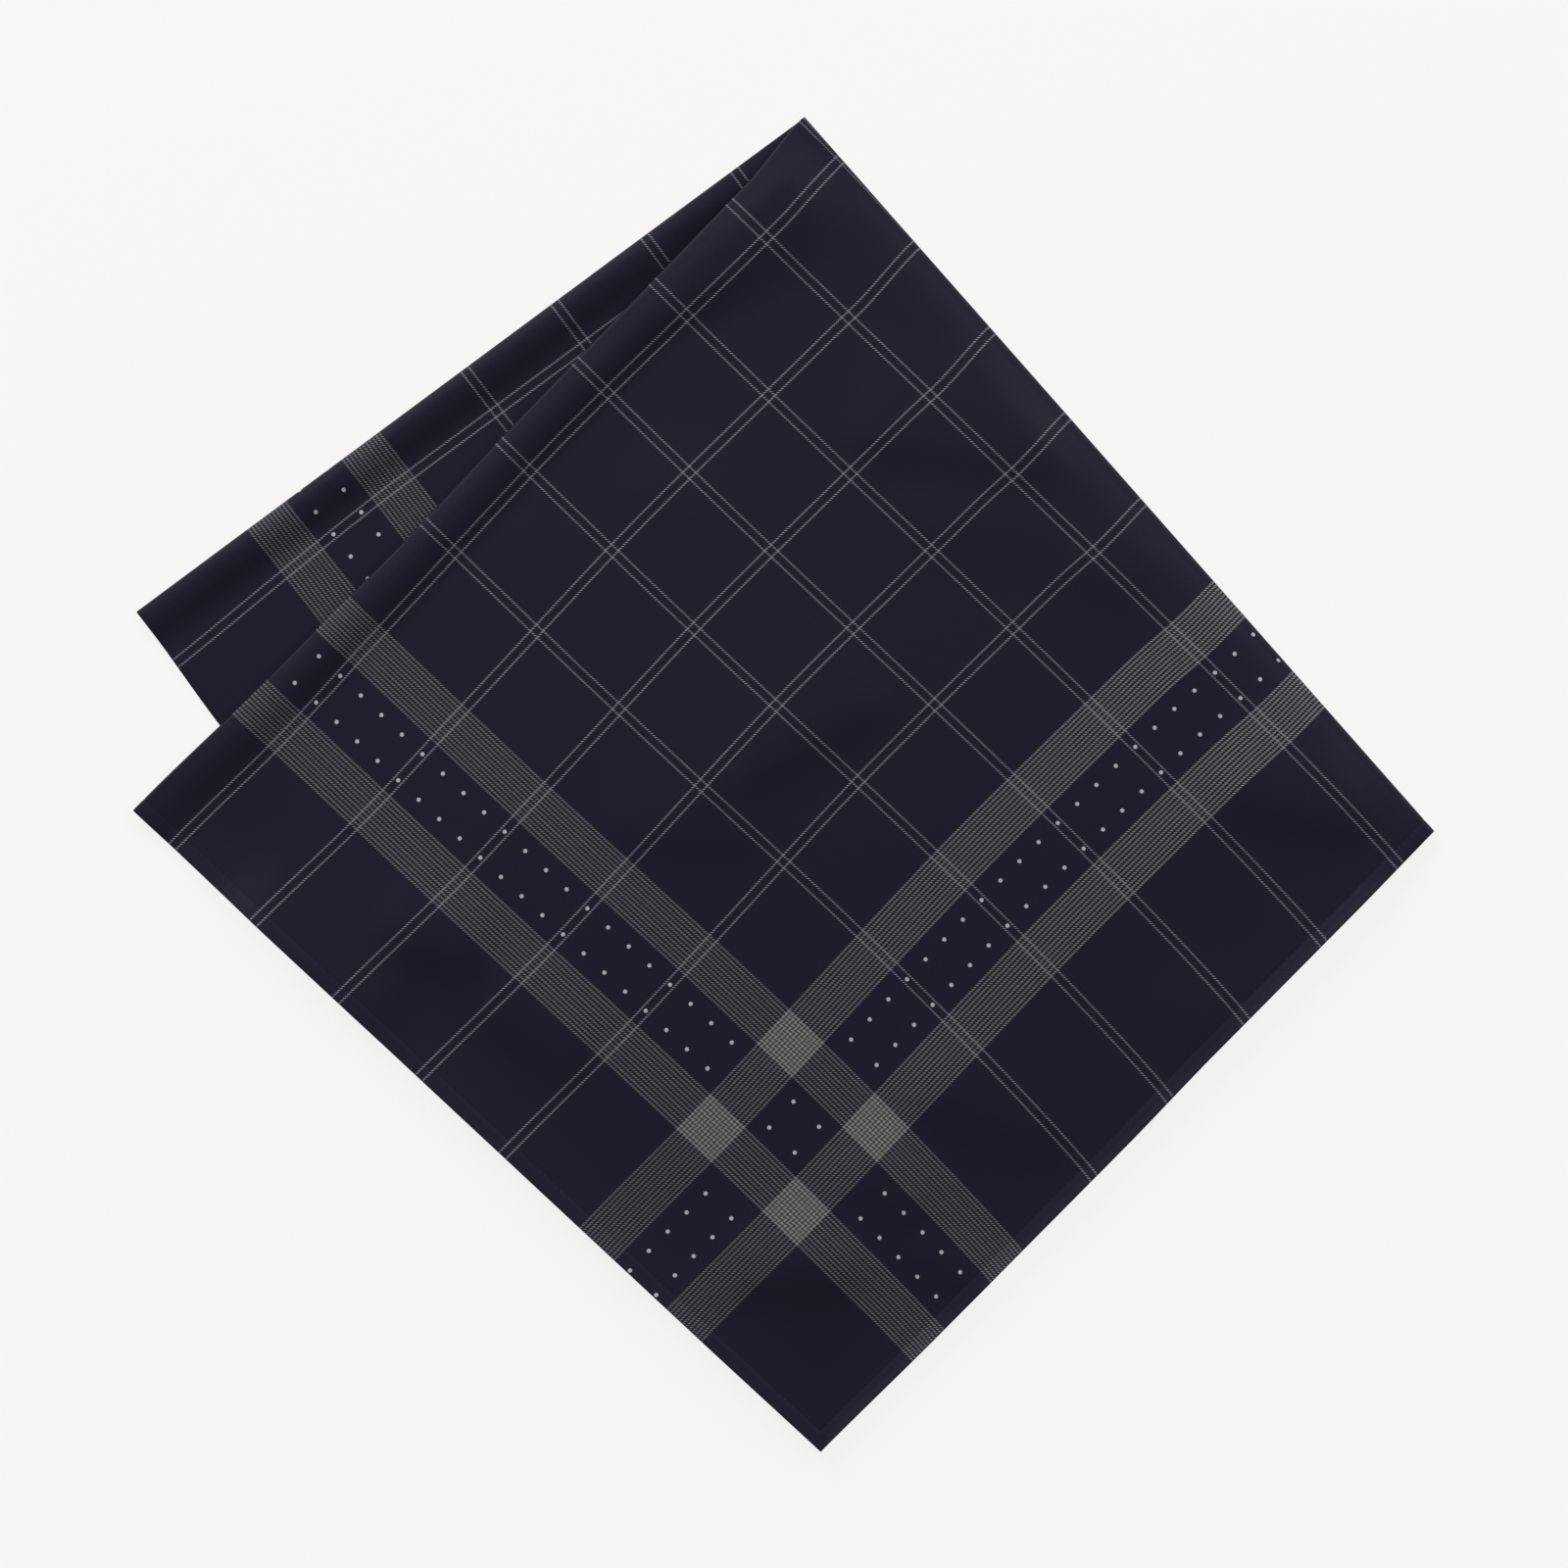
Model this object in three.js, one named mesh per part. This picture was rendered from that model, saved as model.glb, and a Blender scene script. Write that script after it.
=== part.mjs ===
// A square satin scarf, folded in half and in half again, lying on a flat surface.
// Millimetres, +Z up. The origin is on the surface, under the middle of the folded outline.
//
// Four layers lie on each other. From the top they are the front pair, which is the upper and
// the lower half of the first fold, and the back pair, which the second fold turns under it.
// The second fold is askew, so the back pair shows as a narrow wedge beside the first fold.

import {
  BufferGeometry,
  Float32BufferAttribute,
  Group,
  MathUtils,
  Mesh,
  MeshStandardMaterial,
  Vector2,
  Vector3,
} from 'three';

// Cloth and the spacing of its layers
const CLOTH_THICKNESS = 1.0;
const LAYER_GAP = 0.6;
const LAYER_PITCH = CLOTH_THICKNESS + LAYER_GAP;

// Corners of the folded outline, seen from above. The first fold ends at LEFT and BACK_LEFT and
// passes through TOP, the second fold runs from TOP to RIGHT, and all other edges are hems.
const TOP = new Vector2(6.3, 201.1);
const RIGHT = new Vector2(195.9, -14.5);
const BOTTOM = new Vector2(11.2, -200.6);
const LEFT = new Vector2(-195.9, -8.1);
const BACK_BOTTOM = new Vector2(-20.8, -167.7);
const BACK_LEFT = new Vector2(-194.5, 52.1);

// The first fold isn't pressed flat: the top layer rises over it in a soft roll
const FRONT_ROLL_RISE = 2.0;
const BACK_ROLL_RISE = 1.2;
const BACK_ROLL_END = 0.7;
const ROLL_REACH = 14;
const HALF_WIDTH = 283;
// The first fold's edge is slightly hollow and the side hem bows out a little
const FOLD_HOLLOW = 2.4;
const HEM_BOW = 0.7;

// Past the hems of the back pair the front pair comes down to the surface
const SETTLE_START = 4;
const SETTLE_END = 22;

// Radii and heights of the two turns, at the middle of the cloth
const FIRST_TURN_RADIUS = LAYER_PITCH / 2;
const SECOND_TURN_RADIUS = LAYER_PITCH;
const SECOND_TURN_HEIGHT = CLOTH_THICKNESS / 2 + 1.5 * LAYER_PITCH;
const FIRST_EDGE = FIRST_TURN_RADIUS + CLOTH_THICKNESS / 2;
const SECOND_EDGE = SECOND_TURN_HEIGHT;

// Along and across the cloth a station runs from 0 at one hem to 1 at the fold, then through
// the turn, and then by 1 again to the other hem.
const FIRST_TURN_SPAN = (Math.PI * FIRST_TURN_RADIUS) / HALF_WIDTH;
const SECOND_TURN_SPAN = (Math.PI * SECOND_TURN_RADIUS) / HALF_WIDTH;
const ROLL_SPAN = ROLL_REACH / HALF_WIDTH;
const ACROSS_SECTIONS = [
  { span: 1 - ROLL_SPAN, steps: 18 },
  { span: ROLL_SPAN, steps: 4 },
  { span: FIRST_TURN_SPAN, steps: 6 },
  { span: ROLL_SPAN, steps: 4 },
  { span: 1 - ROLL_SPAN, steps: 18 },
];
const ALONG_SECTIONS = [
  { span: 1, steps: 21 },
  { span: SECOND_TURN_SPAN, steps: 6 },
  { span: 1, steps: 12 },
];
// Step for the slopes that give the cloth's normal
const SLOPE_STEP = 1e-6;

const direction = (from, to) => new Vector2().subVectors(to, from).normalize();
const leftOf = (vector) => new Vector2(-vector.y, vector.x);
const arch = (share) => Math.sin(Math.PI * MathUtils.clamp(share, 0, 1));

// The folds turn about axes that lie inside the outline by the radius of the turn and the cloth
const SECOND_FOLD_OUTWARD = leftOf(direction(RIGHT, TOP)).negate();
const RIGHT_AXIS = RIGHT.clone().addScaledVector(SECOND_FOLD_OUTWARD, -SECOND_EDGE);
const TOP_AXIS = TOP.clone()
  .addScaledVector(SECOND_FOLD_OUTWARD, -SECOND_EDGE)
  .addScaledVector(direction(RIGHT, TOP), -FIRST_EDGE);

const FRONT = {
  hemCorner: BOTTOM,
  foldCorner: LEFT.clone().addScaledVector(direction(BOTTOM, LEFT), -FIRST_EDGE),
  rise: (along) => FRONT_ROLL_RISE * arch(along),
  hollow: (along) => FOLD_HOLLOW * arch(along),
  bow: (along) => HEM_BOW * arch(along),
};
const BACK = {
  hemCorner: BACK_BOTTOM,
  foldCorner: BACK_LEFT.clone().addScaledVector(direction(BACK_BOTTOM, BACK_LEFT), -FIRST_EDGE),
  rise: (along) => BACK_ROLL_RISE * arch(along / BACK_ROLL_END) ** 2,
  hollow: () => 0,
  bow: () => 0,
};

// Hems of the back pair that the front pair covers
const COVERED_HEMS = [
  { from: BACK_LEFT, to: BACK_BOTTOM },
  { from: BACK_BOTTOM, to: RIGHT },
];

// How far a point of the front pair has come down towards the surface
function settled(spot) {
  const past = COVERED_HEMS.map(({ from, to }) =>
    -leftOf(direction(from, to)).dot(new Vector2().subVectors(spot, from)));
  return 2 * LAYER_PITCH * MathUtils.smoothstep(Math.max(...past), SETTLE_START, SETTLE_END);
}

// A station as its share of the way from hem to fold and its angle around the fold
function foldStation(station, turnSpan) {
  if (station <= 1) return { share: station, angle: 0 };
  if (station < 1 + turnSpan) return { share: 1, angle: (Math.PI * (station - 1)) / turnSpan };
  return { share: 2 + turnSpan - station, angle: Math.PI };
}

// A point at the middle of the cloth's thickness
function clothPoint(acrossStation, alongStation) {
  const across = foldStation(acrossStation, FIRST_TURN_SPAN);
  const along = foldStation(alongStation, SECOND_TURN_SPAN);
  const onFront = along.angle < Math.PI / 2;
  const pair = onFront ? FRONT : BACK;

  // First fold: the layer that faces up rises near it
  const toFold = (1 - across.share) * HALF_WIDTH;
  const lift = pair.rise(along.share) * (1 - MathUtils.smoothstep(toFold, 0, ROLL_REACH));
  const upper = FIRST_TURN_RADIUS + (onFront ? lift : 0);
  const lower = -FIRST_TURN_RADIUS - (onFront ? 0 : lift);
  const radius = (upper - lower) / 2;
  const fromPairMiddle = (upper + lower) / 2 + radius * Math.cos(across.angle);

  const hemPoint = pair.hemCorner.clone().lerp(RIGHT_AXIS, along.share);
  const foldPoint = pair.foldCorner.clone().lerp(TOP_AXIS, along.share);
  const towardsFold = direction(hemPoint, foldPoint);
  const inset = (pair.hollow(along.share) + pair.rise(along.share) / 2) * across.share
    + pair.bow(along.share) * (1 - across.share) ** 3;
  const spot = hemPoint.lerp(foldPoint, across.share)
    .addScaledVector(towardsFold, radius * Math.sin(across.angle) - inset);

  // Second fold: both layers of the pair turn about one axis
  const reach = SECOND_TURN_RADIUS + fromPairMiddle;
  spot.addScaledVector(SECOND_FOLD_OUTWARD, reach * Math.sin(along.angle));
  const height = SECOND_TURN_HEIGHT + reach * Math.cos(along.angle);
  return new Vector3(spot.x, spot.y, height - (along.angle === 0 ? settled(spot) : 0));
}

// Points on both faces of the cloth, half a thickness either side of its middle
function clothFaces(across, along) {
  const slopeAcross = clothPoint(across + SLOPE_STEP, along)
    .sub(clothPoint(across - SLOPE_STEP, along));
  const slopeAlong = clothPoint(across, along + SLOPE_STEP)
    .sub(clothPoint(across, along - SLOPE_STEP));
  const outward = slopeAlong.cross(slopeAcross).normalize();
  const middle = clothPoint(across, along);
  return {
    right: middle.clone().addScaledVector(outward, CLOTH_THICKNESS / 2),
    wrong: middle.clone().addScaledVector(outward, -CLOTH_THICKNESS / 2),
  };
}

// Stations of all grid lines from one hem to the other
function gridStations(sections) {
  const stations = [0];
  for (const { span, steps } of sections) {
    const start = stations.at(-1);
    for (let step = 1; step <= steps; step += 1) stations.push(start + (span * step) / steps);
  }
  return stations;
}

// One closed sheet: the right side, the wrong side and a rim along the four hems
function foldedSheet() {
  const acrossStations = gridStations(ACROSS_SECTIONS);
  const alongStations = gridStations(ALONG_SECTIONS);
  const columns = acrossStations.length;
  const rows = alongStations.length;
  const right = [];
  const wrong = [];
  for (const along of alongStations) {
    for (const across of acrossStations) {
      const faces = clothFaces(across, along);
      right.push(...faces.right.toArray());
      wrong.push(...faces.wrong.toArray());
    }
  }

  const triangles = [];
  const addQuad = (a, b, c, d) => triangles.push(a, b, c, a, c, d);
  const onWrong = (index) => index + rows * columns;
  const addRim = (from, to) => addQuad(from, to, onWrong(to), onWrong(from));
  for (let row = 0; row + 1 < rows; row += 1) {
    for (let column = 0; column + 1 < columns; column += 1) {
      const corner = row * columns + column;
      const quad = [corner, corner + columns, corner + columns + 1, corner + 1];
      addQuad(...quad);
      addQuad(...quad.map(onWrong).reverse());
    }
  }
  for (let column = 0; column + 1 < columns; column += 1) {
    const last = (rows - 1) * columns + column;
    addRim(column, column + 1);
    addRim(last + 1, last);
  }
  for (let row = 0; row + 1 < rows; row += 1) {
    const first = row * columns;
    addRim(first + columns, first);
    addRim(first + columns - 1, first + 2 * columns - 1);
  }

  const geometry = new BufferGeometry();
  geometry.setAttribute('position', new Float32BufferAttribute([...right, ...wrong], 3));
  geometry.setIndex(triangles);
  geometry.computeVertexNormals();
  return geometry;
}

const satin = new MeshStandardMaterial({ color: 0x201e2c, roughness: 0.45, metalness: 0 });
const scarf = new Mesh(foldedSheet(), satin);
scarf.name = 'scarf';

const model = new Group();
model.add(scarf);

export default model;
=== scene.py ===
"""The looks of a square satin scarf, folded askew into quarters and lying on a pale floor.

The cloth is one thin closed sheet that follows the folds of its CAD solid. Its lengths are in
millimetres, in the frame of the CAD model, and MM turns them into metres at the end. The stage
and its lights are in metres.
"""
import math

import bpy
import numpy as np
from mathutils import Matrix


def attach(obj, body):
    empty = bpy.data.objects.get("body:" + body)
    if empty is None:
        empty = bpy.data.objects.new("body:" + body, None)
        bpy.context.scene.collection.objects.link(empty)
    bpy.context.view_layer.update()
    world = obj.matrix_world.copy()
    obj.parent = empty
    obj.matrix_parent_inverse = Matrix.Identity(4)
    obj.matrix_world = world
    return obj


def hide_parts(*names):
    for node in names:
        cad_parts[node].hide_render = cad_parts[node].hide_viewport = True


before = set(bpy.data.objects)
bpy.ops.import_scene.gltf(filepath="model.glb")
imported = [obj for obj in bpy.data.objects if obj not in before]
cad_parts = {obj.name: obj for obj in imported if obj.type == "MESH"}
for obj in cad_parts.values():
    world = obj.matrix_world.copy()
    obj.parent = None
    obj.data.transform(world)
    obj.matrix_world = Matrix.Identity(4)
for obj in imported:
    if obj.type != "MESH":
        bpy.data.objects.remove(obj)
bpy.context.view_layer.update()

MM = 0.001

# The cloth, opened out. across runs over its width and along over its length.
WIDTH = 566.0
LENGTH = 536.0
CLOTH = 0.3
LAYER_PITCH = 0.95

# Corners of the folded outline, as in the CAD model
TOP = np.array([6.3, 200.9])
RIGHT = np.array([196.05, -14.35])
BOTTOM = np.array([11.2, -201.0])
LEFT = np.array([-195.9, -8.1])
BACK_BOTTOM = np.array([-20.8, -167.7])
BACK_LEFT = np.array([-194.5, 52.1])

# A pair of numbers named GROWS, STOPS or the like is where a form starts to change and where it
# has changed. If nothing else is said, they are shares of the way from a hem (0) to a fold (1).

# The first fold isn't pressed flat. The layer that faces up rises from its edge to a soft roll
# and comes down again. Towards TOP the roll of the front pair is broader.
FRONT_ROLL = {"edge": 2.1, "crest": 2.8, "crest_at": 4.2, "reach": 17.0}
FRONT_ROLL_AT_TOP = {"crest": 3.7, "crest_at": 8.5, "reach": 36.0}
FRONT_ROLL_BROADENS = (0.5, 1.0)
# The crest moves away from the edge first, and grows over this part of the broadening
FRONT_CREST_GROWS = (0.4, 1.0)
BACK_ROLL = {"edge": 1.7, "crest": 2.4, "crest_at": 2.9, "reach": 14.0}
# How strong the rolls are: weaker at the hem, and nothing at TOP
FRONT_ROLL_AT_HEM = 0.55
FRONT_ROLL_GROWS = (0.0, 0.2)
FRONT_ROLL_LOSS = 0.15
FRONT_ROLL_LOSES = (0.7, 0.92)
BACK_ROLL_AT_HEM = 0.7
BACK_ROLL_GROWS = (0.0, 0.15)
ROLLS_STOP = (0.93, 1.0)
# The crest lies within this share of the reach. A roll is fuller above and flatter at its foot.
CREST_MOST_OF_REACH = 1 / 3
ROLL_FULLNESS = 0.1
# Beside TOP the strip of the back pair is narrow, and its roll goes on under the front pair
BACK_ROLL_LEAST_REACH = 10.0
# The strip of the back pair beside the first fold, from its end at the hem to nothing at TOP
STRIP_WIDTH = 55.0
# The turn at the edge of the fold is this many times as wide as high. Its mean radius follows.
TURN_SQUASH = 0.45
TURN_MEAN = math.sqrt((1 + TURN_SQUASH**2) / 2)

# The first fold's edge is hollow, most of all before its middle
FOLD_HOLLOW = 1.8
FOLD_HOLLOW_GROWS = (0.0, 0.2)
FOLD_HOLLOW_STOPS = (0.91, 1.0)
FOLD_DIP = 0.75
FOLD_DIP_AT = 0.4
FOLD_DIP_REACH = 0.11
# The side hem bows out a little, which fades towards the fold by a power
HEM_BOW = 0.55
HEM_BOW_GROWS = (0.0, 0.2)
HEM_BOW_STOPS = (0.5, 0.65)
HEM_BOW_FADE = 3
# The hem of the back pair lies this much further out: at its corner, and past the notch
BACK_HEM_OUT = (0.65, 2.3)
BACK_HEM_CORNER = 0.16
BACK_HEM_OUT_GROWS = (0.2, 0.7)
BACK_HEM_REACH = 0.16
# Its hidden corner lies this much further in
BACK_CORNER_IN = 5.0
BACK_CORNER_REACH = 0.6

# How far past the covered hems the front pair comes down to the floor
SETTLE_START = 2.0
SETTLE_END = 60.0

# Cloth between a hem and the second fold, at the side hem and at the first fold
FRONT_CLOTH = (265.0, 283.7)
BACK_CLOTH = (267.0, 243.0)
FRONT_CLOTH_DIP = 2.0
# The first fold drifts off the middle of the cloth
FRONT_DRIFT = 3.0
FRONT_DRIFT_GROWS = (0.1, 0.45)
FRONT_DRIFT_STOPS = (0.55, 1.0)
BACK_DRIFT = 4.2
BACK_DRIFT_STOPS = (-0.1, 0.36)
BACK_DRIFT_DIP = 0.2

# Shifts of the front pair's check off straight lines. Each is an arch plus an S from one end of
# a line to the other. The values say how large these two are over the cloth's other direction,
# in millimetres for each kind of wave. A bulge is an arch that leans towards the hem.
BULGE_LEAN = 0.62
ARCH_TO_SECOND = {"bulge": 1.7, "even": -0.3, "slope": -1.4, "s": 1.0}
S_TO_SECOND = {"even": 0.15, "at_fold": 0.4, "at_hem": -0.45, "arch": 0.5}
S_FOLD_PART = (0.6, 1.0)
S_HEM_PART = (0.0, 0.35)
ARCH_TO_FIRST = {"late": 1.8, "even": -0.3, "slope": 0.4}
LATE_GROWS = (0.2, 0.6)
LATE_STOPS = (0.86, 1.0)
S_TO_FIRST = {"arch": 0.9, "slope": -0.4}
SHIFT_TO_FIRST_STOPS = (0.9, 1.0)

FIRST_TURN_RADIUS = LAYER_PITCH / 2
SECOND_TURN_RADIUS = LAYER_PITCH
SECOND_TURN_HEIGHT = CLOTH / 2 + 1.5 * LAYER_PITCH
FIRST_EDGE = FIRST_TURN_RADIUS + CLOTH / 2
SECOND_EDGE = SECOND_TURN_HEIGHT
FIRST_TURN_SPAN = math.pi * FIRST_TURN_RADIUS / (WIDTH / 2)
SECOND_TURN_SPAN = math.pi * SECOND_TURN_RADIUS / (LENGTH / 2)
# The slopes of the cloth are measured over this much of a station
SLOPE_STEP = 1e-6

# Air under the front pair, in millimetres: it rises quickly from the second fold. From the first
# fold it rises slowly, sooner beside the second fold than away from it. Past the covered hems it
# ends. A dome lies over the middle.
AIR = 1.6
AIR_QUICK = 4.4
AIR_NEAR_SECOND_FOLD = (0.0, 40.0)
AIR_AWAY = (16.0, 95.0)
AWAY_FROM_SECOND_FOLD = (10.0, 80.0)
AIR_PAST_HEMS = (-45.0, 45.0)
DOME = 2.4
DOME_REACH = 110.0
CREASES_FROM_SECOND_FOLD = 12.0
# The free hems curl up a little, close to their edge and more gently further in
SIDE_CURLS = [{"height": 1.1, "reach": 5.5}, {"height": 1.8, "reach": 30.0}]
END_CURLS = [{"height": 0.3, "reach": 5.5}, {"height": 3.1, "reach": 25.0}]
END_CURL_STOPS = (0.8, 1.0)
CURL_FROM_SECOND_FOLD = 32.0

# Soft creases of the front pair: the ends of each crest, the widths of its broad side towards
# the light and of its short side away from it, and its height. All run from left to right.
CREASES = [
    {"start": (29, 106), "end": (76, 99), "lit": 26, "shaded": 9, "height": 1.4},
    {"start": (-19, 1), "end": (22, 23), "lit": 24, "shaded": 9, "height": 1.6},
    {"start": (-43, -13), "end": (-15, -15), "lit": 20, "shaded": 8, "height": 1.2},
    {"start": (-78, 71), "end": (-68, 66), "lit": 15, "shaded": 8, "height": 0.5},
    {"start": (-40, 87), "end": (-26, 82), "lit": 15, "shaded": 8, "height": 0.5},
    {"start": (90, 66), "end": (100, 62), "lit": 16, "shaded": 8, "height": 0.8},
    {"start": (47, 79), "end": (77, 75), "lit": 16, "shaded": 9, "height": 0.7},
    {"start": (-12, -148), "end": (18, -145), "lit": 16, "shaded": 9, "height": 1.7},
    {"start": (21, -119), "end": (37, -125), "lit": 14, "shaded": 7, "height": 1.1},
    {"start": (44, -143), "end": (55, -148), "lit": 9, "shaded": 6, "height": 0.8},
    {"start": (46, -93), "end": (74, -105), "lit": 18, "shaded": 8, "height": 1.3},
    {"start": (115, -69), "end": (125, -71), "lit": 14, "shaded": 7, "height": 0.8},
    {"start": (139, -2), "end": (167, -10), "lit": 18, "shaded": 9, "height": 1.6},
    {"start": (-158, -42), "end": (-122, -64), "lit": 24, "shaded": 12, "height": 1.5},
    {"start": (-115, -44), "end": (-97, -50), "lit": 18, "shaded": 8, "height": 1.5},
    {"start": (-83, -68), "end": (-68, -80), "lit": 16, "shaded": 8, "height": 1.2},
]
CREASE_END = 9.0

# The hem: the cloth's rounded edge, where the doubled cloth ends on the wrong side, and the
# stitch line that dips into the right side there
EDGE_WIDTH = 0.45
EDGE_THINNING = 0.9
HEM_WIDTH = 4.4
HEM_EXTRA = 0.38
HEM_ENDS = (HEM_WIDTH - 0.5, HEM_WIDTH + 0.2)
HEM_SWELL = 0.05
STITCH_WIDTH = 0.45
STITCH_DIP = 0.09

# The mesh: how many steps its grid has in each section between a hem and a fold, and how close
# to the fold the finer steps start
EDGE_STEPS = 2
HEM_STEPS = 3
STITCH_ZONE = 1.4
STITCH_STEPS = 4
ACROSS_STEPS = {"body_steps": 78, "near_fold": 19.0, "near_steps": 16}
ALONG_STEPS = {"body_steps": 76, "near_fold": 9.0, "near_steps": 5}
TURN_STEPS = 12

# The map for a bake. Strips of its picture as their start and height, for each part of the cloth.
BAKE_MARGIN = 0.002
BAKE_WIDTH = 0.996
RIGHT_SIDE_STRIP = (0.002, 0.73)
WRONG_SIDE_STRIP = (0.738, 0.25)
RIM_STRIP = (0.992, 0.006)
# Places in the strips are partly by true size and partly by grid line, so that none is too thin
BAKE_BY_SIZE = 0.5


def unit(vector):
    return vector / np.linalg.norm(vector, axis=-1, keepdims=True)


def left_of(vector):
    return np.stack([-vector[..., 1], vector[..., 0]], -1)


def mix(start, end, share):
    return start + (end - start) * share


def smooth(value, start, end):
    """0 before start, 1 after end, and a soft step between them."""
    share = np.clip((value - start) / (end - start), 0, 1)
    return share * share * (3 - 2 * share)


def until(value, start, end):
    """1 before start, 0 after end, and a soft step between them."""
    return 1 - smooth(value, start, end)


def arch(share):
    return np.sin(math.pi * np.clip(share, 0, 1))


def slope(share):
    return np.cos(math.pi * share)


def s_wave(share):
    return np.sin(2 * math.pi * share)


def bulge(across):
    return arch(np.clip(across, 0, 1) ** BULGE_LEAN)


SECOND_FOLD_OUTWARD = -left_of(unit(TOP - RIGHT))
RIGHT_AXIS = RIGHT - SECOND_FOLD_OUTWARD * SECOND_EDGE
TOP_AXIS = TOP - SECOND_FOLD_OUTWARD * SECOND_EDGE - unit(TOP - RIGHT) * FIRST_EDGE
LEFT_AXIS = LEFT - unit(LEFT - BOTTOM) * FIRST_EDGE
BACK_LEFT_AXIS = BACK_LEFT - unit(BACK_LEFT - BACK_BOTTOM) * FIRST_EDGE
COVERED_HEMS = [(BACK_LEFT, BACK_BOTTOM), (BACK_BOTTOM, RIGHT)]


def past_line(spot, start, end):
    """Distance of each spot from a line, counted to the right of its direction."""
    return -((spot - start) @ left_of(unit(end - start)))


def crease_rise(spot, start, end, lit, shaded, height):
    """Height of a crease. It falls off gently to its left, and quickly to its right and ends."""
    start, end = np.array(start, float), np.array(end, float)
    axis = unit(end - start)
    to_right = past_line(spot, start, end)
    forward = (spot - start) @ axis
    past_end = np.maximum(0, np.maximum(-forward, forward - np.linalg.norm(end - start)))
    width = np.where(to_right > 0, shaded, lit)
    return height * np.exp(-((to_right / width) ** 2) - (past_end / CREASE_END) ** 2)


def past_covered_hems(spot):
    return np.maximum(*(past_line(spot, start, end) for start, end in COVERED_HEMS))


def inside_second_fold(spot):
    return np.maximum(0, -((spot - RIGHT_AXIS) @ SECOND_FOLD_OUTWARD))


def relief(spot):
    """How far the front pair rises off the pair under it: its air and its creases."""
    inside_second = inside_second_fold(spot)
    inside_first = past_line(spot, LEFT, TOP)
    air = AIR * (1 - np.exp(-inside_second / AIR_QUICK))
    away = smooth(inside_second, *AWAY_FROM_SECOND_FOLD)
    air_start, air_end = (mix(*pair, away) for pair in zip(AIR_NEAR_SECOND_FOLD, AIR_AWAY))
    air = air * smooth(inside_first, air_start, air_end)
    air = air * until(past_covered_hems(spot), *AIR_PAST_HEMS)
    dome = DOME * np.exp(-((np.linalg.norm(spot, axis=-1) / DOME_REACH) ** 2))
    creases = sum(crease_rise(spot, **row) for row in CREASES)
    return air + (creases + dome) * smooth(inside_second, 0, CREASES_FROM_SECOND_FOLD)


def hem_curl(distance, curls):
    return sum(row["height"] * np.clip(1 - distance / row["reach"], 0, 1) ** 2 for row in curls)


def from_side_hem(flat_across):
    return np.minimum(flat_across, WIDTH - flat_across)


def free_curl(spot, across, flat_across, flat_along):
    """Rise of the front pair's free hems."""
    side = hem_curl(from_side_hem(flat_across), SIDE_CURLS)
    end = hem_curl(flat_along, END_CURLS) * until(across, *END_CURL_STOPS)
    return np.maximum(side, end) * smooth(inside_second_fold(spot), 0, CURL_FROM_SECOND_FOLD)


def settling(spot):
    """How far the front pair comes down: not over the back pair, and to the floor past it."""
    return 2 * LAYER_PITCH * smooth(past_covered_hems(spot), SETTLE_START, SETTLE_END)


def fold_station(station, turn_span):
    """The share of the way from a hem to a fold, and the angle around that fold."""
    share = np.where(station <= 1, station, np.maximum(2 + turn_span - station, 0))
    turning = (station > 1) & (station < 1 + turn_span)
    angle = math.pi * np.clip((station - 1) / turn_span, 0, 1)
    return np.where(turning, 1, share), angle


def roll_strength(along, strip, front):
    of_front = mix(FRONT_ROLL_AT_HEM, 1, smooth(along, *FRONT_ROLL_GROWS))
    of_front = of_front * (1 - FRONT_ROLL_LOSS * smooth(along, *FRONT_ROLL_LOSES))
    of_back = mix(BACK_ROLL_AT_HEM, 1, smooth(along, *BACK_ROLL_GROWS))
    of_back = of_back * np.minimum(1, strip / BACK_ROLL["reach"])
    return np.where(front, of_front, of_back) * until(along, *ROLLS_STOP)


def roll_over_fold(across, along, front):
    """Rise of the layer that faces up at the first fold: at its very edge, and at each place."""
    inside = (1 - np.clip(across, 0, 1)) * WIDTH / 2
    strip = STRIP_WIDTH * (1 - along)
    strength = roll_strength(along, strip, front)
    edge, crest, crest_at, reach = (
        np.where(front, FRONT_ROLL[key], BACK_ROLL[key])
        for key in ("edge", "crest", "crest_at", "reach")
    )
    to_top = np.where(front, smooth(along, *FRONT_ROLL_BROADENS), 0)
    grown = smooth(to_top, *FRONT_CREST_GROWS)
    crest_at = mix(crest_at, FRONT_ROLL_AT_TOP["crest_at"], to_top)
    crest = mix(crest, FRONT_ROLL_AT_TOP["crest"], grown)
    reach = mix(reach, FRONT_ROLL_AT_TOP["reach"], grown)
    reach = np.where(front, reach, np.clip(strip, BACK_ROLL_LEAST_REACH, reach))
    crest_at = np.minimum(crest_at, reach * CREST_MOST_OF_REACH)
    climb = smooth(inside, -crest_at / 2, crest_at)
    fall = 1 - np.clip((inside - crest_at) / (reach - crest_at), 0, 1)
    fall = fall - ROLL_FULLNESS * s_wave(fall)
    return edge * strength, mix(edge, crest, climb) * strength * fall


def hollow(along):
    """How far the front pair's edge at the first fold lies inside the straight line."""
    dip = FOLD_DIP * np.exp(-(((along - FOLD_DIP_AT) / FOLD_DIP_REACH) ** 2))
    window = smooth(along, *FOLD_HOLLOW_GROWS) * until(along, *FOLD_HOLLOW_STOPS)
    return (FOLD_HOLLOW + dip) * window


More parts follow.
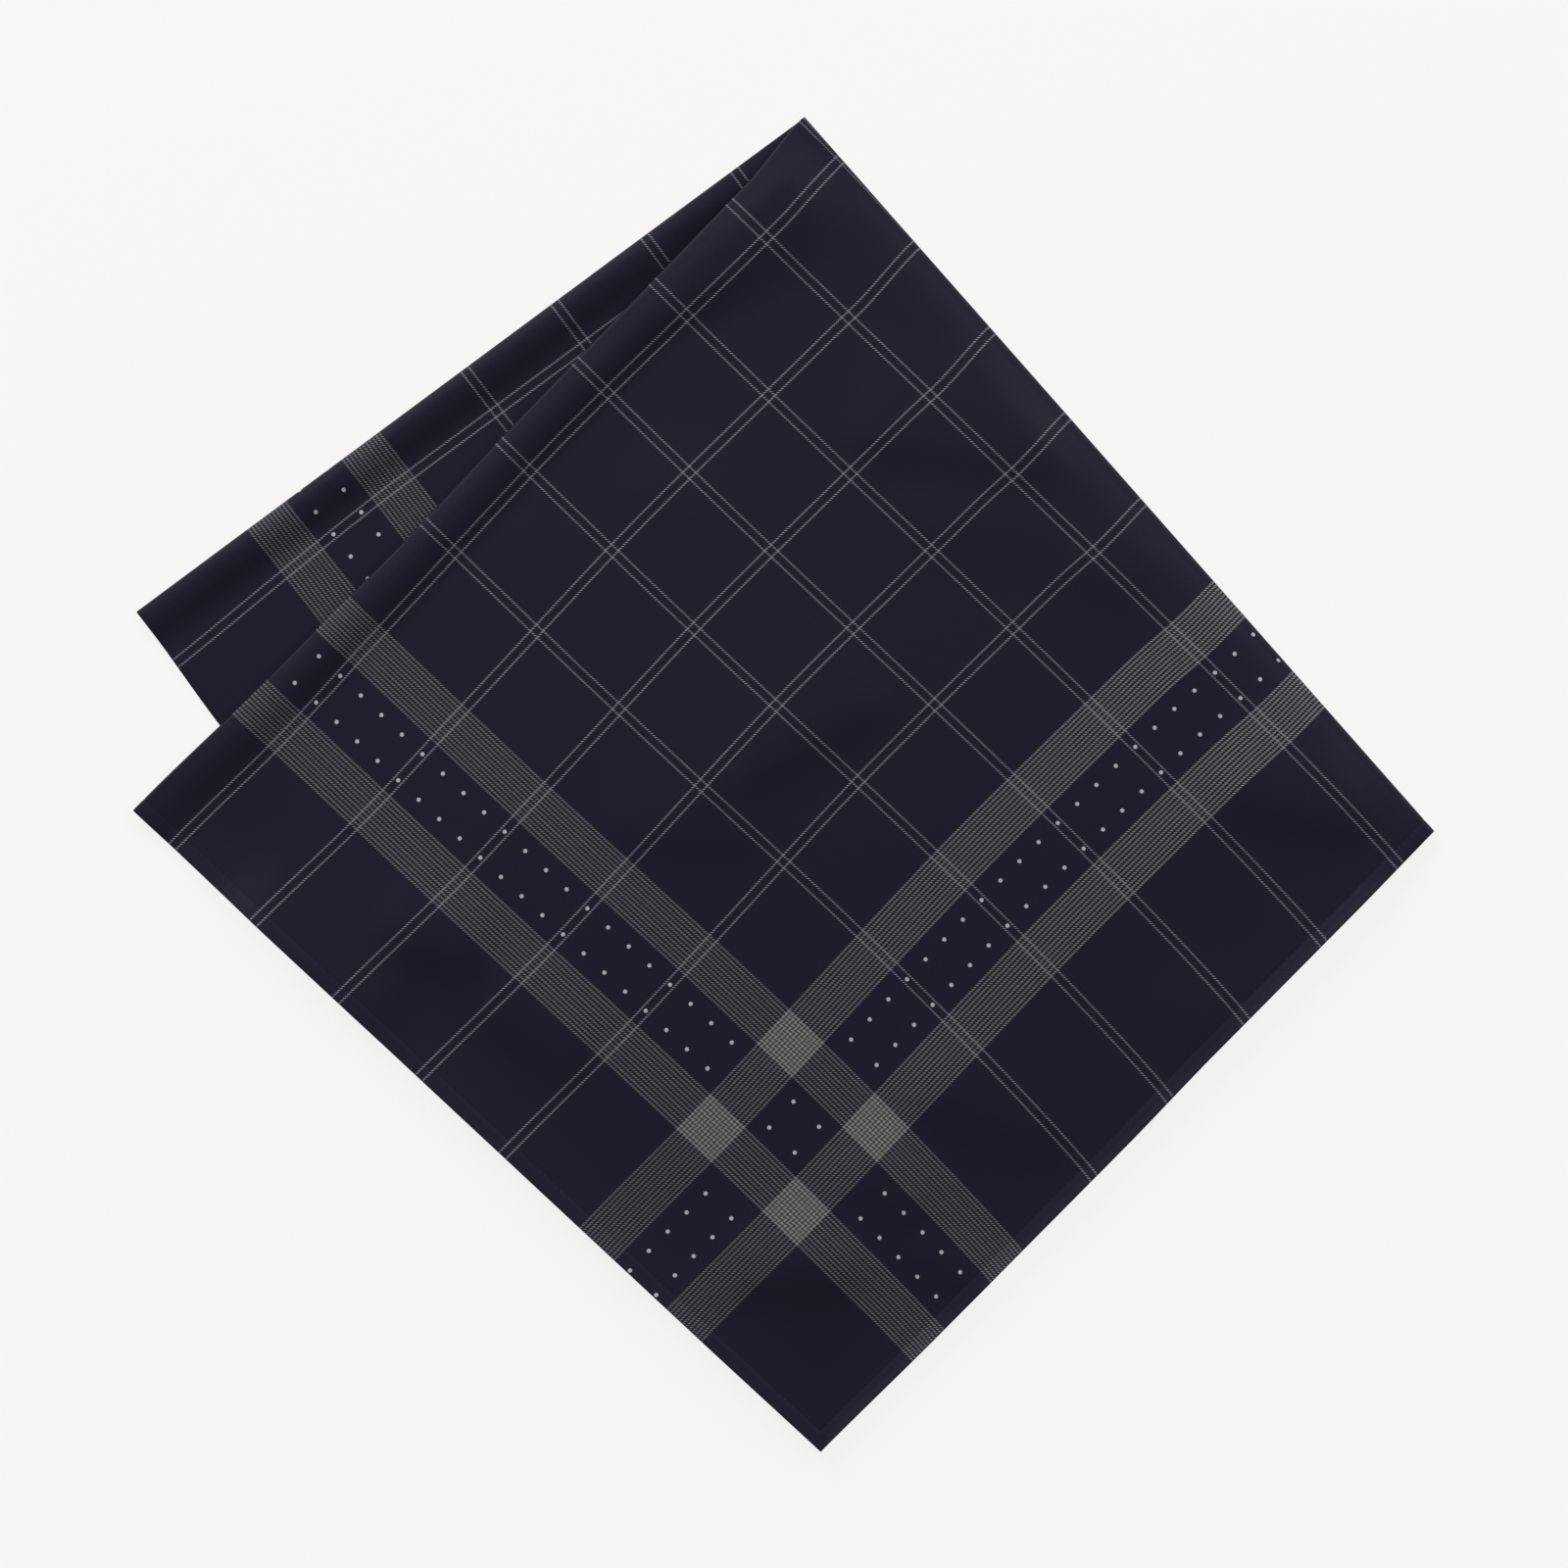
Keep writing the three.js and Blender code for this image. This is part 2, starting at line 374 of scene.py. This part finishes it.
def sway_to_second(over, far):
    """Shift of the front pair's check off straight lines, to the second fold."""
    arched, bent = ARCH_TO_SECOND, S_TO_SECOND
    arch_size = arched["bulge"] * bulge(over) + arched["even"]
    arch_size = arch_size + arched["slope"] * slope(over) + arched["s"] * s_wave(over)
    s_size = mix(bent["even"], bent["at_fold"], smooth(over, *S_FOLD_PART))
    s_size = s_size + bent["at_hem"] * until(over, *S_HEM_PART) + bent["arch"] * arch(over)
    return arch(far) * arch_size + s_wave(far) * s_size


def sway_to_first(over, far):
    """Shift of the front pair's check off straight lines, to the first fold."""
    arched, bent = ARCH_TO_FIRST, S_TO_FIRST
    late = smooth(far, *LATE_GROWS) * until(far, *LATE_STOPS)
    arch_size = arched["late"] * late + arched["even"] + arched["slope"] * slope(far)
    s_size = bent["arch"] * arch(far) + bent["slope"] * slope(far)
    shift = arch(over) * arch_size + s_wave(over) * s_size
    return shift * until(far, *SHIFT_TO_FIRST_STOPS)


def back_hem_out(across, along):
    """How far the hem of the back pair lies outside the straight line."""
    out = mix(*BACK_HEM_OUT, smooth(1 - across, 0, BACK_HEM_CORNER))
    out = out * smooth(across, *BACK_HEM_OUT_GROWS)
    out = out - BACK_CORNER_IN * until(across, 0, BACK_CORNER_REACH)
    return out * until(along, 0, BACK_HEM_REACH)


def inset(across, along, front, edge_rise):
    """How far the cloth lies inside the straight lines, at the first fold and at the side hem."""
    bow = HEM_BOW * smooth(along, *HEM_BOW_GROWS) * until(along, *HEM_BOW_STOPS)
    turned_in = TURN_SQUASH * (FIRST_TURN_RADIUS + edge_rise / 2) - FIRST_TURN_RADIUS
    at_fold = (np.where(front, hollow(along), 0) + turned_in) * across
    return at_fold + np.where(front, bow, 0) * (1 - across) ** HEM_BOW_FADE


def flat_place(across, along, across_angle, along_angle, edge_rise):
    """The same place on the cloth opened out."""
    front_drift = smooth(along, *FRONT_DRIFT_GROWS) * until(along, *FRONT_DRIFT_STOPS)
    back_drift = BACK_DRIFT * until(along, *BACK_DRIFT_STOPS) - BACK_DRIFT_DIP * arch(along)
    drift = np.where(along_angle < math.pi / 2, FRONT_DRIFT * front_drift, back_drift)
    first_turn = math.pi * TURN_MEAN * (FIRST_TURN_RADIUS + edge_rise / 2)
    upper_cloth = WIDTH / 2 - drift - first_turn / 2
    lower_cloth = WIDTH / 2 + drift - first_turn / 2
    flat_across = np.where(
        across_angle < math.pi,
        upper_cloth * across + first_turn * across_angle / math.pi,
        WIDTH - lower_cloth * across,
    )
    front_cloth = mix(*FRONT_CLOTH, across) - FRONT_CLOTH_DIP * bulge(across)
    back_cloth = mix(*BACK_CLOTH, across)
    second_turn = LENGTH - front_cloth - back_cloth
    flat_along = np.where(
        along_angle < math.pi,
        front_cloth * along + second_turn * along_angle / math.pi,
        LENGTH - back_cloth * along,
    )
    return flat_across, flat_along


def cloth_point(across_station, along_station):
    """The middle of the cloth at two stations, and that place on the cloth opened out.

    A station is 0 at one hem and 1 at the fold, runs on through the turn, and then by 1 again
    to the other hem.
    """
    across, across_angle = fold_station(across_station, FIRST_TURN_SPAN)
    along, along_angle = fold_station(along_station, SECOND_TURN_SPAN)
    front = along_angle < math.pi / 2

    edge_rise, lift = roll_over_fold(across, along, front)
    upper = FIRST_TURN_RADIUS + np.where(front, lift, 0)
    lower = -FIRST_TURN_RADIUS - np.where(front, 0, lift)
    radius = (upper - lower) / 2
    from_middle = (upper + lower) / 2 + radius * np.cos(across_angle)

    over, far = np.clip(across, 0, 1), np.clip(along, 0, 1)
    to_second = np.where(front, sway_to_second(over, far), -back_hem_out(across, along))
    to_first = np.where(front, sway_to_first(over, far), 0)
    shifted = (along + to_second / (LENGTH / 2))[..., None]
    side = front[..., None]
    hem_point = mix(np.where(side, BOTTOM, BACK_BOTTOM), RIGHT_AXIS, shifted)
    fold_point = mix(np.where(side, LEFT_AXIS, BACK_LEFT_AXIS), TOP_AXIS, shifted)
    spot = mix(hem_point, fold_point, across[..., None])
    outward = TURN_SQUASH * radius * np.sin(across_angle)
    outward = outward - inset(across, along, front, edge_rise) + to_first
    spot = spot + unit(fold_point - hem_point) * outward[..., None]

    reach = SECOND_TURN_RADIUS + from_middle
    spot = spot + SECOND_FOLD_OUTWARD * (reach * np.sin(along_angle))[..., None]
    flat_across, flat_along = flat_place(across, along, across_angle, along_angle, edge_rise)
    raised = relief(spot) + free_curl(spot, across, flat_across, flat_along) - settling(spot)
    height = SECOND_TURN_HEIGHT + reach * np.cos(along_angle)
    height = height + np.where(along_angle > 0, 0, raised)
    return np.concatenate([spot, height[..., None]], -1), np.stack([flat_across, flat_along], -1)


def half_sections(half, body_steps, near_fold, near_steps):
    """Sections from a hem to a fold: the rounded edge, the hem, its stitch line and the rest."""
    edge = EDGE_WIDTH / half
    hem = (HEM_ENDS[0] - EDGE_WIDTH) / half
    stitch = STITCH_ZONE / half
    near = near_fold / half
    body = 1 - edge - hem - stitch - near
    at_hem = [(edge, EDGE_STEPS), (hem, HEM_STEPS), (stitch, STITCH_STEPS)]
    return at_hem + [(body, body_steps), (near, near_steps)]


def grid_stations(half, turn_span, steps):
    """Stations of all grid lines, from one hem over the fold to the other."""
    sections = half_sections(half, **steps)
    stations = [0.0]
    for span, count in sections + [(turn_span, TURN_STEPS)] + sections[::-1]:
        stations += list(stations[-1] + span * np.arange(1, count + 1) / count)
    return np.array(stations)


def hem_profile(distance):
    """Thickness added on the wrong side, the dip on the right side, and the edge's rounding."""
    inside = until(distance, *HEM_ENDS)
    stitch = np.exp(-(((distance - HEM_WIDTH) / STITCH_WIDTH) ** 2))
    past_edge = 1 - np.clip(distance / EDGE_WIDTH, 0, 1)
    rounding = np.sqrt(1 - past_edge**2 * EDGE_THINNING)
    return HEM_EXTRA * inside, STITCH_DIP * stitch - HEM_SWELL * inside, rounding


def cloth_slope(across, along, across_step, along_step):
    """The way from each place's near side to its far side, over a step each way."""
    ahead = cloth_point(across + across_step, along + along_step)[0]
    return ahead - cloth_point(across - across_step, along - along_step)[0]


def cloth_sides():
    """Grid points of the right and the wrong side, and the flat place of each."""
    across, along = np.meshgrid(
        grid_stations(WIDTH / 2, FIRST_TURN_SPAN, ACROSS_STEPS),
        grid_stations(LENGTH / 2, SECOND_TURN_SPAN, ALONG_STEPS),
    )
    middle, flat = cloth_point(across, along)
    slope_across = cloth_slope(across, along, SLOPE_STEP, 0)
    slope_along = cloth_slope(across, along, 0, SLOPE_STEP)
    outward = unit(np.cross(slope_along, slope_across))
    flat_across, flat_along = flat[..., 0], flat[..., 1]
    from_end_hem = np.minimum(flat_along, LENGTH - flat_along)
    extra, dip, rounding = hem_profile(np.minimum(from_side_hem(flat_across), from_end_hem))
    on_floor = along > 1 + SECOND_TURN_SPAN
    dip = np.where(on_floor, 0, dip)
    right = middle + outward * ((CLOTH / 2 - dip) * rounding)[..., None]
    wrong = middle - outward * ((CLOTH / 2 + extra) * rounding)[..., None]
    return right, wrong, flat


def quads_of(rows, columns):
    corner = (np.arange(rows - 1)[:, None] * columns + np.arange(columns - 1)).ravel()
    return np.stack([corner, corner + columns, corner + columns + 1, corner + 1], 1)


def in_strip(place, strip):
    """Places from 0 to 1 both ways, moved into a strip of the bake's picture."""
    start, height = strip
    return place * [BAKE_WIDTH, height] + [BAKE_MARGIN, start]


def bake_corners(flat, faces, wrong_faces, rim_count):
    """The map for a bake at each face corner: the right side, the wrong side and the rim."""
    rows, columns = flat.shape[:2]
    by_size = flat / np.array([WIDTH, LENGTH])
    by_line = np.stack(np.meshgrid(np.linspace(0, 1, columns), np.linspace(0, 1, rows)), -1)
    place = mix(by_line, by_size, BAKE_BY_SIZE).reshape(-1, 2)
    around = np.arange(rim_count) / rim_count
    following = around + 1 / rim_count
    rim = np.stack(
        [
            np.stack([place_around, np.full(rim_count, up)], 1)
            for place_around, up in ((around, 0), (following, 0), (following, 1), (around, 1))
        ],
        1,
    )
    return np.concatenate(
        [
            in_strip(place, RIGHT_SIDE_STRIP)[faces],
            in_strip(place, WRONG_SIDE_STRIP)[wrong_faces],
            in_strip(rim, RIM_STRIP),
        ]
    )


def add_map(mesh, name, corners):
    layer = mesh.uv_layers.new(name=name)
    layer.data.foreach_set("uv", corners.astype(np.float32).ravel())


def make_cloth():
    right, wrong, flat = cloth_sides()
    rows, columns = right.shape[:2]
    count = rows * columns
    grid = np.arange(count).reshape(rows, columns)
    faces = quads_of(rows, columns)
    wrong_faces = faces[:, ::-1]
    rim = np.concatenate([grid[0, :], grid[1:, -1], grid[-1, -2::-1], grid[-2:0:-1, 0]])
    following = np.roll(rim, -1)
    rim_faces = np.stack([rim, following, following + count, rim + count], 1)
    all_faces = np.concatenate([faces, wrong_faces + count, rim_faces])

    points = np.concatenate([right.reshape(-1, 3), wrong.reshape(-1, 3)]) * MM
    mesh = bpy.data.meshes.new("scarf_cloth")
    mesh.from_pydata(points.tolist(), [], all_faces.tolist())
    mesh.validate()
    add_map(mesh, "flat", flat.reshape(-1, 2)[all_faces.ravel() % count])
    add_map(mesh, "OFBake", bake_corners(flat, faces, wrong_faces, len(rim)))
    mesh.uv_layers.active = mesh.uv_layers["flat"]

    mesh.shade_smooth()
    cloth = bpy.data.objects.new("scarf_cloth", mesh)
    bpy.context.collection.objects.link(cloth)
    return cloth


# How softly the check's edges blur into the cloth
EDGE_BLUR = 0.1
LINE_BLUR = 0.12
THREAD_BLUR = 0.16
DOT_BLUR = 0.25


class Wire:
    """A number inside a node tree. Arithmetic on it adds Math nodes."""

    def __init__(self, tree, socket):
        self.tree, self.socket = tree, socket

    def calc(self, operation, *others, clamp=False):
        node = self.tree.nodes.new("ShaderNodeMath")
        node.operation = operation
        node.use_clamp = clamp
        for socket, value in zip(node.inputs, (self, *others)):
            if isinstance(value, Wire):
                self.tree.links.new(value.socket, socket)
            else:
                socket.default_value = value
        return Wire(self.tree, node.outputs[0])

    def __add__(self, other):
        return self.calc("ADD", other)

    def __sub__(self, other):
        return self.calc("SUBTRACT", other)

    def __mul__(self, other):
        return self.calc("MULTIPLY", other)

    def abs(self):
        return self.calc("ABSOLUTE")

    def wrap(self, period):
        """The distance past the last multiple of the period."""
        return self.calc("WRAP", 0.0, period)

    def from_half(self, period):
        """The distance from the middle of the period that the value is in."""
        return (self.wrap(period) - period / 2).abs()

    def nearest(self, *places):
        """The distance to the nearest of some places."""
        found = (self - places[0]).abs()
        for place in places[1:]:
            found = found.calc("MINIMUM", (self - place).abs())
        return found

    def within(self, limit, blur=EDGE_BLUR):
        """1 where the value is under the limit, with a soft edge."""
        return ((self * -1.0) + (limit + blur / 2)).calc("DIVIDE", blur, clamp=True)

    def between(self, low, high):
        return (self - (low + high) / 2).abs().within((high - low) / 2)


# The check, counted from the middle of the cloth. Rows for the two directions.
CHECK = {
    "across": {
        "pair_pitch": 33.9,
        "pair_gap": 2.8,
        "bands": [(183.8, 198.3), (219.5, 234.0)],
        "side_stripes_show": 1.0,
        "dot_rows": (203.6, 214.3),
        "outer_dot_pitch": 8.08,
    },
    "along": {
        "pair_pitch": 32.95,
        "pair_gap": 2.65,
        "bands": [(179.3, 193.3), (213.6, 227.8)],
        "side_stripes_show": 0.86,
        "dot_rows": (198.2, 208.7),
        "outer_dot_pitch": 7.85,
    },
}
PAIRS_EACH_SIDE = 5
LINE_WIDTH = 0.6
STRIPES_IN_BAND = 12
STRIPE_SHARE = 0.56
DOT_RADIUS = 0.6
DOTS_PER_PAIR = 4
DOTS_PAST_BORDER = 5
# Added to a distance where no dot may stand
NO_DOT = 50.0
THREAD_PERIOD = 0.86


def double_lines(place, rule):
    """1 on the pairs of single pale threads, which repeat from the middle to the border."""
    pitch, gap = rule["pair_pitch"], rule["pair_gap"]
    pairs = (place.from_half(pitch) - gap / 2).abs().within(LINE_WIDTH / 2, LINE_BLUR)
    return pairs * place.within(pitch * PAIRS_EACH_SIDE)


def band_stripes(place, rule):
    """How far the stripes of a border's two bands show. The middle one of three shows most."""
    sides = rule["side_stripes_show"]
    found = None
    for low, high in rule["bands"]:
        period = (high - low) / (STRIPES_IN_BAND - 1 + STRIPE_SHARE)
        half_stripe = period * STRIPE_SHARE / 2
        stripe = ((place - low).wrap(period) - half_stripe).abs()
        stripes = stripe.within(half_stripe, LINE_BLUR) * place.between(low, high)
        in_three = (place - low).wrap(3 * period)
        stripes = stripes * (in_three.between(period, 2 * period) * (1 - sides) + sides)
        found = stripes if found is None else found + stripes
    return found


def in_band(place, rule):
    inner, outer = (place.between(low, high) for low, high in rule["bands"])
    return inner + outer


def from_dot_column(place, rule):
    """Distance to the nearest column that dots may stand in, with none inside the bands."""
    pitch = rule["pair_pitch"] / DOTS_PER_PAIR
    outer_pitch = rule["outer_dot_pitch"]
    (inner, _), (_, outer) = rule["bands"]
    middle_part = place.from_half(pitch) * -1.0 + pitch / 2
    middle_part = middle_part + place.calc("GREATER_THAN", inner - pitch / 4) * NO_DOT
    last = outer + outer_pitch * (DOTS_PAST_BORDER + 0.5)
    past_border = place.between(outer + outer_pitch / 2, last)
    outer_part = (place - outer).from_half(outer_pitch) * -1.0 + outer_pitch / 2
    outer_part = outer_part + (past_border * -1.0 + 1.0) * NO_DOT
    return middle_part.calc("MINIMUM", outer_part).calc("MINIMUM", place.nearest(*rule["dot_rows"]))


def dots(across, along):
    """1 on the dots: rows of them between the two bands of each border."""
    row_across = across.nearest(*CHECK["across"]["dot_rows"])
    row_along = along.nearest(*CHECK["along"]["dot_rows"])
    column_across = from_dot_column(across, CHECK["across"])
    column_along = from_dot_column(along, CHECK["along"])
    first = (row_across * row_across) + (column_along * column_along)
    second = (row_along * row_along) + (column_across * column_across)
    return first.calc("MINIMUM", second).calc("SQRT").within(DOT_RADIUS, DOT_BLUR)


def linear(*srgb):
    """A colour given as 0 to 255 in sRGB, as linear numbers."""
    values = [value / 255 for value in srgb]
    return [v / 12.92 if v <= 0.04045 else ((v + 0.055) / 1.055) ** 2.4 for v in values] + [1.0]


NAVY = linear(25, 22, 37)
LINE = linear(128, 128, 138)
STRIPE = linear(128, 131, 124)
CROSSING = linear(138, 134, 129)
DOT = linear(160, 160, 165)

# How strongly the pale threads of each direction show
WARP_SHOWS = 0.6
WEFT_SHOWS = 0.5
BOTH_SHOW = 0.61
CROSSED_BANDS_SHOW = 0.1
LINES_SHOW = 1.02
# Painted sheen: the warp is painted brighter at the middle of the cloth's length, beside the second
# fold, and less bright with each millimetre from it, in place of light shining on its pale threads
WARP_SHEEN_AT_FOLD = 1.28
WARP_SHEEN_FADES = 0.0024

# The satin's surface. Pale threads shine more than dark ones.
ROUGHNESS = 0.52
DARK_SHINE = 0.09
PALE_SHINE = 0.4
RIB_STRENGTH = 0.25
RIB_DEPTH = 0.08
PALE_RIB = 0.15


def blend_colour(tree, share, first, second):
    node = tree.nodes.new("ShaderNodeMix")
    node.data_type = "RGBA"
    tree.links.new(share.socket, node.inputs["Factor"])
    for socket, value in ((node.inputs["A"], first), (node.inputs["B"], second)):
        if isinstance(value, list):
            socket.default_value = value
        else:
            tree.links.new(value, socket)
    return node.outputs["Result"]


def flat_wires(tree):
    """The place on the cloth opened out, across and along."""
    place = tree.nodes.new("ShaderNodeUVMap")
    place.uv_map = "flat"
    split = tree.nodes.new("ShaderNodeSeparateXYZ")
    tree.links.new(place.outputs["UV"], split.inputs[0])
    return Wire(tree, split.outputs["X"]), Wire(tree, split.outputs["Y"])


def satin_material():
    """Dark satin with the check woven in by pale threads."""
    material = bpy.data.materials.new("satin")
    material.use_nodes = True
    tree = material.node_tree
    shader = tree.nodes["Principled BSDF"]
    flat_across, flat_along = flat_wires(tree)
    across = (flat_across - WIDTH / 2).abs()
    along = (flat_along - LENGTH / 2).abs()

    # The weave shows the warp and the weft in turn along its diagonals
    thread = (flat_across + flat_along).from_half(THREAD_PERIOD)
    warp_on_top = thread.within(THREAD_PERIOD / 4, THREAD_BLUR)
    weft_on_top = (warp_on_top * -1.0) + 1.0
    warp_lines = double_lines(across, CHECK["across"]) * warp_on_top * (WARP_SHOWS * LINES_SHOW)
    weft_lines = double_lines(along, CHECK["along"]) * weft_on_top * (WEFT_SHOWS * LINES_SHOW)
    lines = (warp_lines + weft_lines).calc("MINIMUM", 1.0)
    # The warp's share carries painted sheen: brighter beside the second fold, less bright away from
    # it
    warp = band_stripes(across, CHECK["across"]) * (along * -WARP_SHEEN_FADES + WARP_SHEEN_AT_FOLD)
    weft = band_stripes(along, CHECK["along"])
    stripes = (warp * warp_on_top * WARP_SHOWS) + (weft * weft_on_top * WEFT_SHOWS)
    crossed = in_band(across, CHECK["across"]) * in_band(along, CHECK["along"])
    crossing = (warp * weft * BOTH_SHOW).calc("MAXIMUM", crossed * CROSSED_BANDS_SHOW)
    woven = blend_colour(tree, stripes, NAVY, STRIPE)
    woven = blend_colour(tree, crossing, woven, CROSSING)
    woven = blend_colour(tree, lines, woven, LINE)
    colour = blend_colour(tree, dots(across, along), woven, DOT)
    tree.links.new(colour, shader.inputs["Base Color"])

    # Fine ribs of the threads
    rib = thread + (stripes + lines) * PALE_RIB
    bump = tree.nodes.new("ShaderNodeBump")
    bump.inputs["Strength"].default_value = RIB_STRENGTH
    bump.inputs["Distance"].default_value = RIB_DEPTH * MM
    tree.links.new(rib.socket, bump.inputs["Height"])
    tree.links.new(bump.outputs["Normal"], shader.inputs["Normal"])
    shader.inputs["Roughness"].default_value = ROUGHNESS
    pale = (stripes + lines).calc("MAXIMUM", crossing)
    shine = pale * PALE_SHINE + DARK_SHINE
    tree.links.new(shine.socket, shader.inputs["Specular IOR Level"])
    return material


# The photograph's floor is near white with hardly a shadow, so most of its light is its own.
# For each part of its colour that it reflects, it glows with FLOOR_GLOW parts.
FLOOR_HALF = 3.0
FLOOR_GLOW = 14.2
FLOOR_ROUGHNESS = 0.9
FLOOR_SEEN = linear(247, 245, 244)
FLOOR_COLOUR = [value / (FLOOR_GLOW + 1) for value in FLOOR_SEEN[:3]] + [1.0]


def make_floor():
    half = FLOOR_HALF
    mesh = bpy.data.meshes.new("floor")
    corners = [(-half, -half, 0), (half, -half, 0), (half, half, 0), (-half, half, 0)]
    mesh.from_pydata(corners, [], [(0, 1, 2, 3)])
    floor = bpy.data.objects.new("floor", mesh)
    bpy.context.collection.objects.link(floor)
    material = bpy.data.materials.new("pale_floor")
    material.use_nodes = True
    shader = material.node_tree.nodes["Principled BSDF"]
    shader.inputs["Base Color"].default_value = FLOOR_COLOUR
    shader.inputs["Roughness"].default_value = FLOOR_ROUGHNESS
    shader.inputs["Specular IOR Level"].default_value = 0.0
    shader.inputs["Emission Color"].default_value = FLOOR_COLOUR
    shader.inputs["Emission Strength"].default_value = FLOOR_GLOW
    mesh.materials.append(material)


# Soft lights: the side they come from in degrees, counted from +X towards +Y, their height over
# the floor in degrees, and their distance, size and power
LIGHTS = [
    {"name": "key", "azimuth": 122, "elevation": 30, "distance": 3.2, "size": 1.6, "power": 135},
    {"name": "top", "azimuth": 45, "elevation": 32, "distance": 3.0, "size": 1.8, "power": 55},
    {"name": "fill", "azimuth": 270, "elevation": 62, "distance": 3.0, "size": 2.6, "power": 10},
]
ROOM_LIGHT = 0.09


def make_lights():
    for row in LIGHTS:
        light = bpy.data.lights.new(row["name"], "AREA")
        light.energy = row["power"]
        light.size = row["size"]
        lamp = bpy.data.objects.new(row["name"], light)
        azimuth, elevation = math.radians(row["azimuth"]), math.radians(row["elevation"])
        reach = row["distance"] * math.cos(elevation)
        lamp.location = (
            reach * math.cos(azimuth),
            reach * math.sin(azimuth),
            row["distance"] * math.sin(elevation),
        )
        lamp.rotation_euler = (math.pi / 2 - elevation, 0, azimuth + math.pi / 2)
        bpy.context.collection.objects.link(lamp)
    world = bpy.data.worlds.new("room")
    world.use_nodes = True
    world.node_tree.nodes["Background"].inputs["Color"].default_value = (1, 1, 1, 1)
    world.node_tree.nodes["Background"].inputs["Strength"].default_value = ROOM_LIGHT
    bpy.context.scene.world = world


# The photograph is taken from straight above: its size in pixels, the size of a pixel at the
# cloth, and the height of the cloth's top
PICTURE_PIXELS = 1600
PIXEL = 0.295
CLOTH_TOP = 3.0
CAMERA_OFF_MIDDLE = (0.15, -0.15)
LENS = 120.0
SENSOR = 36.0
SEES_TO_METRES = 20


def make_camera():
    data = bpy.data.cameras.new("camera")
    data.lens = LENS
    data.sensor_width = SENSOR
    data.clip_end = SEES_TO_METRES
    camera = bpy.data.objects.new("camera", data)
    height = PICTURE_PIXELS * PIXEL * LENS / SENSOR + CLOTH_TOP
    camera.location = [value * MM for value in (*CAMERA_OFF_MIDDLE, height)]
    bpy.context.collection.objects.link(camera)
    bpy.context.scene.camera = camera


make_camera()
make_lights()
make_floor()
bpy.context.scene.view_settings.view_transform = "Standard"

cloth = make_cloth()
cloth.data.materials.append(satin_material())
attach(cloth, "root")
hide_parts("scarf")
